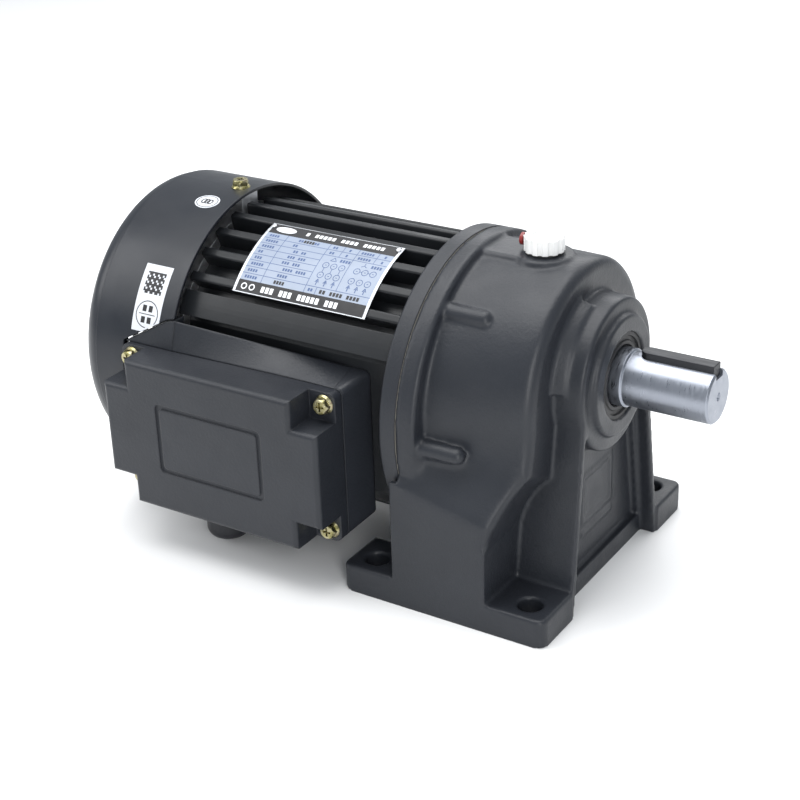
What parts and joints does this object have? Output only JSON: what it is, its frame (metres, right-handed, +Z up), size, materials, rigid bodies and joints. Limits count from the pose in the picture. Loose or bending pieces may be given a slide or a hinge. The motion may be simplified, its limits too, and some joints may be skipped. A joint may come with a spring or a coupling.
{
  "type": "inline gear reducer",
  "caption": "Foot-mounted inline gear motor: spur-gear case on a rectangular foot, keyed output shaft, finned fan-cooled motor and a side terminal box.",
  "frame": {"origin": "centre of the four foot holes on the base plane", "axes": "+X out along the output shaft, away from the motor; +Z up; terminal box on the -Y side"},
  "size_m": [0.338, 0.1904, 0.1824],
  "materials": {
    "case_paint": "semi-gloss grey paint over a cast aluminium skin",
    "frame_paint": "satin dark grey paint on an aluminium extrusion",
    "cover_paint": "semi-gloss grey paint on pressed sheet",
    "shaft_steel": "ground",
    "key_steel": "dark drawn key steel",
    "gear_steel": "hobbed and oiled",
    "bearing_steel": "polished",
    "lamination_steel": "stacked sheet edges",
    "bare_aluminium": "as cast",
    "copper_wire": "varnished copper wire",
    "yellow_zinc": "yellow passivated zinc plate",
    "black_steel": "black oxide",
    "white_plastic": "moulded",
    "red_plastic": "moulded",
    "black_plastic": "moulded",
    "seal_rubber": "matt",
    "gasket_paper": "fibre sheet",
    "nameplate_foil": "printed satin foil",
    "label_vinyl": "printed white vinyl",
    "terminal_brass": "plain"
  },
  "bodies": {
    "housing": {"gear_case": "case_paint", "motor_front_bracket": "case_paint", "case_gasket": "gasket_paper", "case_bolts": "black_steel", "intermediate_plate": "bare_aluminium", "plate_screws": "black_steel", "oil_filler_cap": "white_plastic", "cap_breather_plug": "red_plastic", "cap_seal": "seal_rubber", "drain_plug": "yellow_zinc", "output_seal": "seal_rubber", "output_bearing_outer_rings": "bearing_steel", "output_bearing_balls": "bearing_steel", "shaft_a_bearing_outer_rings": "bearing_steel", "shaft_a_bearing_balls": "bearing_steel", "shaft_b_bearing_outer_rings": "bearing_steel", "shaft_b_bearing_balls": "bearing_steel", "motor_shaft_seal": "seal_rubber", "stator_core": "lamination_steel", "stator_windings": "copper_wire", "stator_frame": "frame_paint", "motor_rear_bracket": "bare_aluminium", "wave_washer": "gear_steel", "motor_tie_bolts": "yellow_zinc", "motor_bearing_outer_rings": "bearing_steel", "motor_bearing_balls": "bearing_steel", "fan_cover": "cover_paint", "fan_cover_screws": "yellow_zinc", "terminal_box_lid": "case_paint", "terminal_box_gasket": "seal_rubber", "terminal_box_base": "case_paint", "terminal_box_lid_screws": "yellow_zinc", "box_fixing_screws": "yellow_zinc", "terminal_block": "black_plastic", "terminal_studs": "terminal_brass", "cable_gland_body": "black_plastic", "cable_gland_nut": "black_plastic", "cable_gland_lock_nut": "black_plastic", "cable_gland_seal": "seal_rubber", "nameplate": "nameplate_foil", "nameplate_rivets": "bare_aluminium", "inspection_label": "label_vinyl", "approval_label": "label_vinyl"},
    "rotor": {"motor_shaft": "shaft_steel", "rotor_core": "lamination_steel", "rotor_cage": "bare_aluminium", "cooling_fan": "black_plastic", "fan_circlip": "black_steel", "motor_bearing_inner_rings": "bearing_steel"},
    "shaft_a": {"shaft_a_pinion_shaft": "gear_steel", "shaft_a_gear": "gear_steel", "shaft_a_bearing_inner_rings": "bearing_steel"},
    "shaft_b": {"shaft_b_pinion_shaft": "gear_steel", "shaft_b_gear": "gear_steel", "shaft_b_bearing_inner_rings": "bearing_steel"},
    "output": {"output_shaft": "shaft_steel", "output_key": "key_steel", "output_gear_key": "key_steel", "output_gear": "gear_steel", "output_bearing_inner_rings": "bearing_steel"}
  },
  "joints": [
    {"name": "rotor_spin", "type": "hinge", "parent": "housing", "child": "rotor", "pos_m": [0, 0, 0.094], "axis": [1, 0, 0], "continuous": true},
    {"name": "shaft_a_spin", "type": "hinge", "parent": "housing", "child": "shaft_a", "pos_m": [0, 0.02062, 0.06888], "axis": [1, 0, 0], "continuous": true},
    {"name": "shaft_b_spin", "type": "hinge", "parent": "housing", "child": "shaft_b", "pos_m": [0, -0.02, 0.06931], "axis": [1, 0, 0], "continuous": true},
    {"name": "output_spin", "type": "hinge", "parent": "housing", "child": "output", "pos_m": [0, 0, 0.115], "axis": [1, 0, 0], "continuous": true}
  ],
  "couplings": [
    {"joint": "shaft_a_spin", "follows": "rotor_spin", "ratio": -0.25},
    {"joint": "shaft_b_spin", "follows": "rotor_spin", "ratio": 0.0625},
    {"joint": "output_spin", "follows": "rotor_spin", "ratio": -0.016667}
  ]
}
